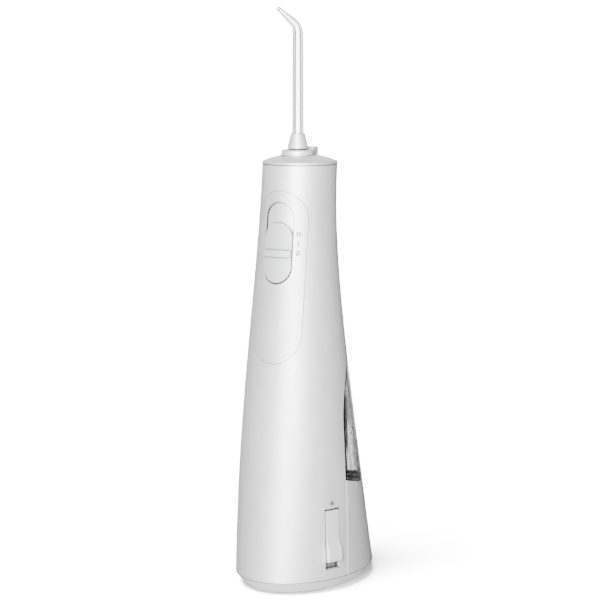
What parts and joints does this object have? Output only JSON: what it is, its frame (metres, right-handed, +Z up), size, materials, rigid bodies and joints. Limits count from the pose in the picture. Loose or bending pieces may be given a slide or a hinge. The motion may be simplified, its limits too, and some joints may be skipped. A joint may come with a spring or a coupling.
{
  "type": "cordless water flosser",
  "caption": "Cordless oral irrigator with a bent jet tip, slide switch, lift-off clear reservoir with filling door, covered charging port and geared pump.",
  "frame": {"origin": "middle of the footprint, on the surface the flosser stands on", "axes": "+Z up, the switch faces -Y, the reservoir is at +Y, the charging port faces +X"},
  "size_m": [0.065, 0.0908, 0.2959],
  "materials": {
    "white_shell": "satin moulded plastic",
    "panel": "fine matte inlay",
    "slider": "matte",
    "clear_tank": "clear moulded plastic",
    "clear_tip": "clear moulded plastic",
    "lens": "milky lens",
    "seal": "black rubber",
    "foot_rubber": "grey rubber",
    "inner_plastic": "moulded inner part",
    "fitting": "moulded fitting",
    "steel": "bright steel",
    "brass": "turned brass",
    "gear_plastic": "acetal",
    "hose": "silicone hose",
    "cell_wrap": "shrink wrap",
    "board": "solder-masked board"
  },
  "bodies": {
    "housing": {"main_shell": "white_shell", "control_panel": "panel", "rear_plate": "white_shell", "base_cap": "white_shell", "front_feet": "foot_rubber", "top_cap": "white_shell", "outlet_socket": "fitting", "top_bracket": "inner_plastic", "charge_port_frame": "white_shell", "cover_hinge_pin": "steel", "charge_jack": "inner_plastic", "charge_pin": "brass", "charge_light_lens": "lens", "inlet_elbow": "fitting", "drive_chassis": "inner_plastic", "gear_axle": "steel", "motor_can": "steel", "pump_cylinder": "fitting", "pump_head": "fitting", "inlet_hose": "hose", "outlet_hose": "hose", "battery_cradle": "inner_plastic", "battery_cells": "cell_wrap", "battery_strap": "steel", "circuit_board": "board", "switch_sensor_board": "board", "base_screws": "steel", "plate_screws": "steel", "eject_spring": "steel"},
    "switch": {"slide_switch": "slider", "switch_carrier": "inner_plastic", "switch_magnet": "steel"},
    "port_cover": {"charge_port_cover": "white_shell"},
    "rotator": {"tip_rotator": "white_shell"},
    "jet_tip": {"tip_collar": "white_shell", "tip_o_ring": "seal", "jet_tip_tube": "clear_tip"},
    "ejector": {"eject_button": "white_shell", "eject_fork": "steel"},
    "reservoir": {"reservoir_tank": "clear_tank", "reservoir_lower": "white_shell", "reservoir_gasket": "seal", "reservoir_sole": "white_shell", "rear_feet": "foot_rubber", "door_hinge_pin": "steel", "pickup_tube": "fitting", "outlet_nipple": "fitting", "pickup_strainer": "fitting"},
    "door": {"filling_door": "white_shell"},
    "motor_rotor": {"motor_shaft": "steel", "motor_pinion": "brass"},
    "gear": {"drive_gear": "gear_plastic", "crank_pin": "steel"},
    "piston": {"piston": "gear_plastic", "piston_seal": "seal", "wrist_pin": "steel"},
    "rod": {"connecting_rod": "gear_plastic"},
    "outlet_valve": {"outlet_valve_ball": "steel"}
  },
  "joints": [
    {"name": "switch_slide", "type": "slide", "parent": "housing", "child": "switch", "axis": [0, 0.101, 0.9949], "range_m": [0, 0.0096]},
    {"name": "port_cover_hinge", "type": "hinge", "parent": "housing", "child": "port_cover", "pos_m": [0.02704, -0.02068, 0.0414], "axis": [-0.3681, -0.9298, 0], "range_deg": [0, 100]},
    {"name": "tip_rotate", "type": "hinge", "parent": "housing", "child": "rotator", "pos_m": [0, -0.00735, 0.22], "axis": [0, 0, 1], "continuous": true},
    {"name": "tip_lift", "type": "slide", "parent": "rotator", "child": "jet_tip", "axis": [0, 0, 1], "range_m": [0, 0.025]},
    {"name": "eject_press", "type": "slide", "parent": "housing", "child": "ejector", "axis": [0, -1, 0], "range_m": [0, 0.0012], "stiffness_N_per_m": 800, "deforming": ["eject_spring"]},
    {"name": "reservoir_slide", "type": "slide", "parent": "housing", "child": "reservoir", "axis": [0, 1, 0], "range_m": [0, 0.04]},
    {"name": "door_hinge", "type": "hinge", "parent": "reservoir", "child": "door", "pos_m": [0, 0.0406, 0.0186], "axis": [-1, 0, 0], "range_deg": [0, 80]},
    {"name": "gear_spin", "type": "hinge", "parent": "housing", "child": "gear", "pos_m": [0, -0.0171, 0.1048], "axis": [0, 1, 0], "continuous": true},
    {"name": "motor_spin", "type": "hinge", "parent": "housing", "child": "motor_rotor", "pos_m": [0, -0.0225, 0.0939], "axis": [0, 0, 1], "continuous": true},
    {"name": "piston_stroke", "type": "slide", "parent": "housing", "child": "piston", "axis": [0, 0, 1], "range_m": [-0.009, 0]},
    {"name": "rod_swing", "type": "hinge", "parent": "piston", "child": "rod", "pos_m": [0, -0.0225, 0.1303], "axis": [0, 1, 0], "range_deg": [-12.4, 12.4]},
    {"name": "outlet_valve_lift", "type": "slide", "parent": "housing", "child": "outlet_valve", "axis": [0, 0, 1], "range_m": [0, 0.0007]}
  ],
  "couplings": [
    {"joint": "motor_spin", "follows": "gear_spin", "ratio": 3.6}
  ]
}
